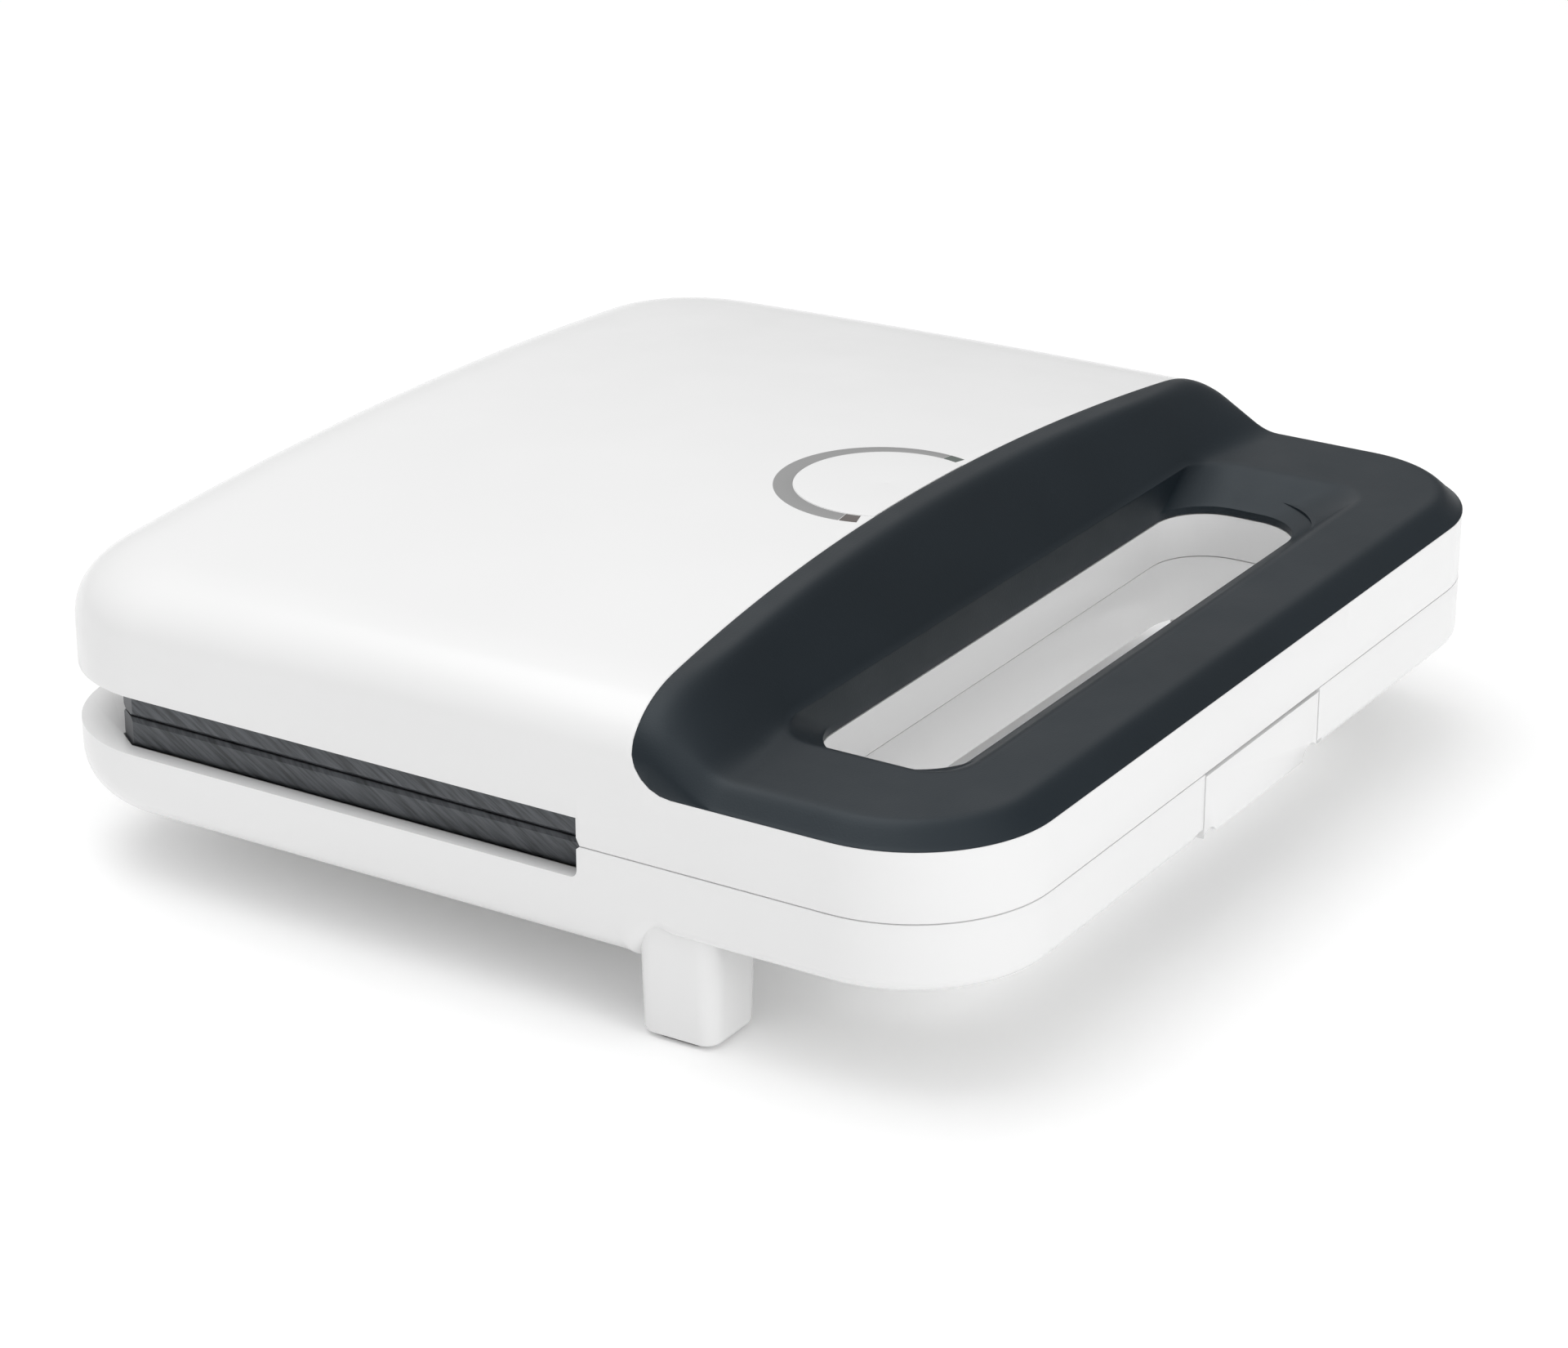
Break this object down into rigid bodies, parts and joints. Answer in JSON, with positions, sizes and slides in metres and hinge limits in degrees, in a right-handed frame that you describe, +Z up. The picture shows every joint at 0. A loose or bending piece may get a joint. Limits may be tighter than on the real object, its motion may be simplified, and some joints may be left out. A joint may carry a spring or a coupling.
{
  "type": "donut maker",
  "caption": "Electric donut maker: hinged two-part body with ring-mould plates, a slotted carry handle and a pivoting front latch.",
  "frame": {"origin": "centre of the footprint on the floor plane, at the middle of the bounding box", "axes": "+X to the right seen from the handle, +Y towards the rear hinge, +Z up"},
  "size_m": [0.23, 0.22, 0.0702],
  "materials": {
    "white_shell": "gloss white moulding",
    "white_cover": "satin white moulding",
    "white_disc": "gloss white disc",
    "charcoal_bezel": "fine matte texture, charcoal",
    "grey_ring": "satin grey",
    "rubber_pad": "matte",
    "mould_plate": "dark non-stick coating with brushed edge",
    "heater_sheath": "dull sheath",
    "zinc_steel": "zinc plated",
    "reflector": "bright sheet",
    "insulator": "unglazed",
    "black_moulding": "matte black",
    "ivory_block": "satin ivory",
    "wire_sleeve": "brown sleeve",
    "red_lens": "tinted lens",
    "green_lens": "tinted lens",
    "lamp_glass": "small neon bulb"
  },
  "bodies": {
    "base": {"base_shell": "white_shell", "base_rim": "white_shell", "base_bottom_cover": "white_cover", "handle_under_cover": "white_cover", "rear_feet": "white_shell", "foot_pads": "rubber_pad", "lower_plate": "mould_plate", "lower_heater": "heater_sheath", "lower_heater_clamp": "zinc_steel", "lower_reflector": "reflector", "lower_spacers": "insulator", "lower_plate_screws": "zinc_steel", "thermostat": "black_moulding", "thermal_fuse": "zinc_steel", "terminal_block": "ivory_block", "base_wires": "wire_sleeve", "cord_gland": "black_moulding", "cover_screws": "zinc_steel", "hinge_pins": "zinc_steel", "latch_pin": "zinc_steel"},
    "latch": {"latch_tab": "white_shell", "latch_hook": "white_cover"},
    "lid": {"lid_shell": "white_shell", "handle_bezel": "charcoal_bezel", "upper_plate": "mould_plate", "upper_heater": "heater_sheath", "upper_heater_clamp": "zinc_steel", "upper_reflector": "reflector", "upper_spacers": "insulator", "upper_plate_screws": "zinc_steel", "badge_disc": "white_disc", "indicator_ring": "grey_ring", "power_lens": "red_lens", "ready_lens": "green_lens", "lamp_holder": "ivory_block", "neon_lamps": "lamp_glass", "lid_wires": "wire_sleeve", "bezel_screws": "zinc_steel"}
  },
  "joints": [
    {"name": "lid_hinge", "type": "hinge", "parent": "base", "child": "lid", "pos_m": [0, 0.1045, 0.036], "axis": [-1, 0, 0], "range_deg": [0, 100]},
    {"name": "latch_pivot", "type": "hinge", "parent": "base", "child": "latch", "pos_m": [0, -0.1035, 0.0285], "axis": [-1, 0, 0], "range_deg": [-4, 4]}
  ]
}
